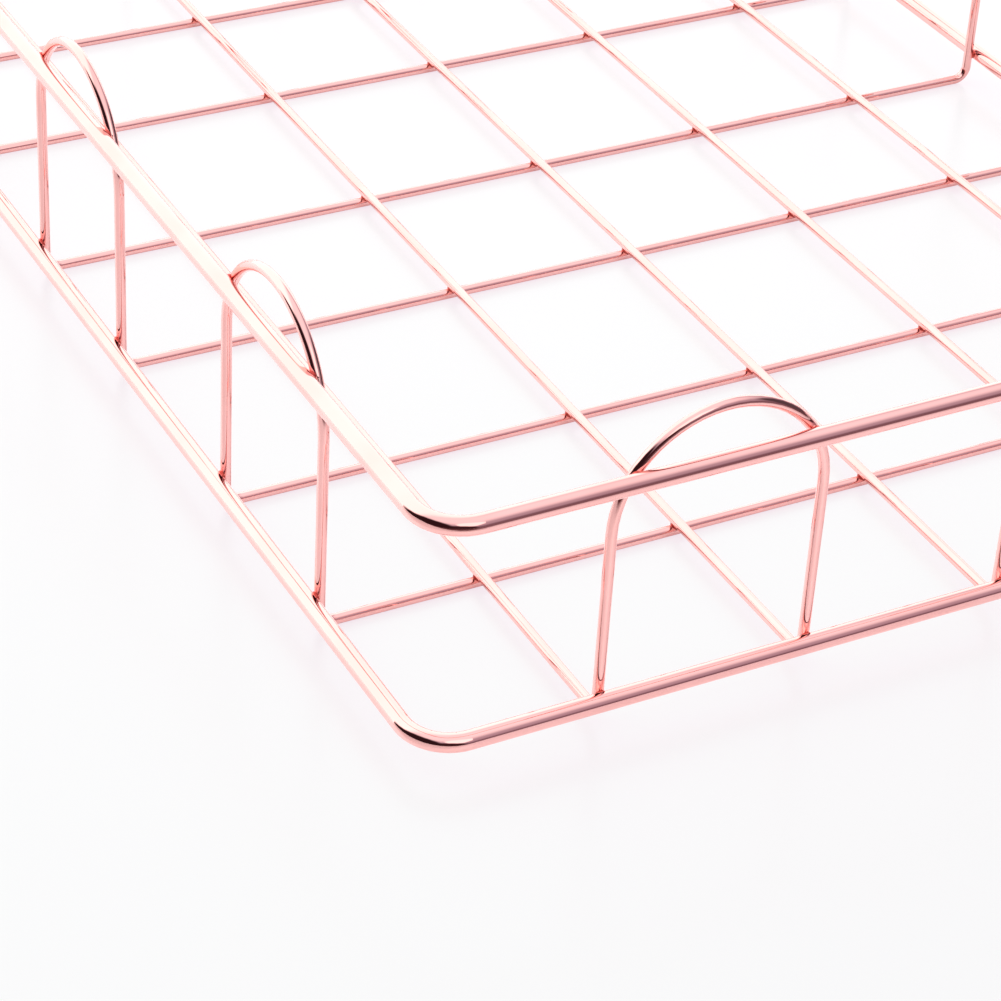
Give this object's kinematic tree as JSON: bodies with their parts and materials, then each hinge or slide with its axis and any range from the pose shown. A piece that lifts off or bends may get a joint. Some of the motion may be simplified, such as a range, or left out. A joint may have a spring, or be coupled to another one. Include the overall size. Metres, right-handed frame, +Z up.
{
  "type": "stacking letter tray",
  "caption": "Open wire letter tray: a grid floor whose wires turn up into sides, held by a base ring and a rim, with raised arches that locate another tray stacked on top.",
  "frame": {"origin": "middle of the footprint, on the surface that the lowest floor wires stand on", "axes": "+X across the tray, +Y along its long side towards the back, +Z up"},
  "size_m": [0.256, 0.348, 0.0662],
  "materials": {
    "plated_wire": "mirror-bright rose-gold plating on steel wire",
    "weld_metal": "rose-gold plating over the weld points"
  },
  "bodies": {
    "root": {"base_ring": "plated_wire", "top_rim": "plated_wire", "cross_loop_front": "plated_wire", "cross_loop_middle": "plated_wire", "cross_loop_back": "plated_wire", "long_loop_left": "plated_wire", "long_loop_right": "plated_wire", "long_wire_center": "plated_wire", "floor_welds_1": "weld_metal", "floor_welds_2": "weld_metal", "floor_welds_3": "weld_metal", "floor_welds_4": "weld_metal", "floor_welds_5": "weld_metal", "floor_welds_6": "weld_metal", "base_welds_front": "weld_metal", "base_welds_back": "weld_metal", "base_welds_left": "weld_metal", "base_welds_right": "weld_metal", "rim_welds_front": "weld_metal", "rim_welds_back": "weld_metal", "rim_welds_left": "weld_metal", "rim_welds_right": "weld_metal"}
  },
  "joints": []
}
